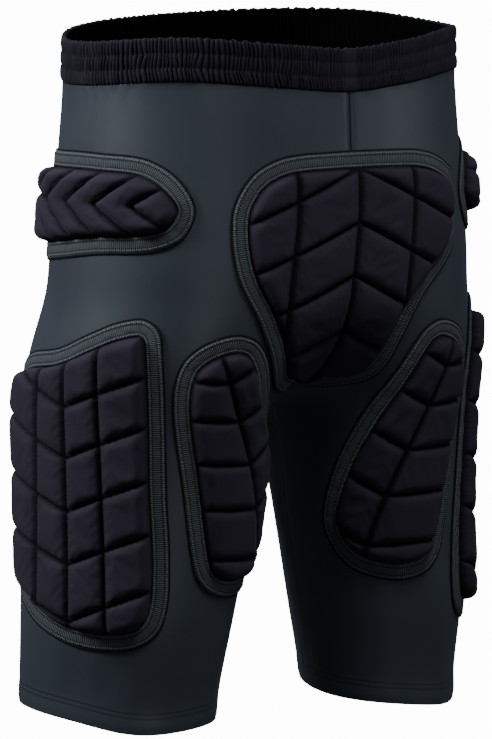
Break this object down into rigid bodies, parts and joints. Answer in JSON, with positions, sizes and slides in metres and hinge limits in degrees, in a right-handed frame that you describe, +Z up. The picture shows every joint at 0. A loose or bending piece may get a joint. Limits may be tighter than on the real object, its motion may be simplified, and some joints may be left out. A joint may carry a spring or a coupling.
{
  "type": "padded protective shorts",
  "caption": "Stretch sports shorts with a gathered waistband and thick sewn-cell foam pads over the hips, groin and thighs, each edged with a flat binding tape.",
  "frame": {"origin": "on the waist's axis, at the mid-height of the waistband", "axes": "+Z up along the body, -Y towards the wearer's front, +X towards the wearer's left"},
  "size_m": [0.3884, 0.255, 0.5102],
  "materials": {
    "shell_knit": "smooth stretch knit, dark slate grey with a faint sheen",
    "band_elastic": "gathered elastic casing, dark grey, matte",
    "pad_knit": "matte near-black knit over foam cells",
    "binding_tape": "ribbed flat tape, mid grey, matte"
  },
  "bodies": {
    "root": {"left_panel": "shell_knit", "right_panel": "shell_knit", "waistband": "band_elastic", "groin_pad": "pad_knit", "groin_binding": "binding_tape", "left_hip_pad": "pad_knit", "left_hip_binding": "binding_tape", "right_hip_pad": "pad_knit", "right_hip_binding": "binding_tape", "left_thigh_pad": "pad_knit", "left_thigh_binding": "binding_tape", "right_thigh_pad": "pad_knit", "right_thigh_binding": "binding_tape", "left_front_thigh_pad": "pad_knit", "left_front_thigh_binding": "binding_tape", "right_front_thigh_pad": "pad_knit", "right_front_thigh_binding": "binding_tape"}
  },
  "joints": []
}
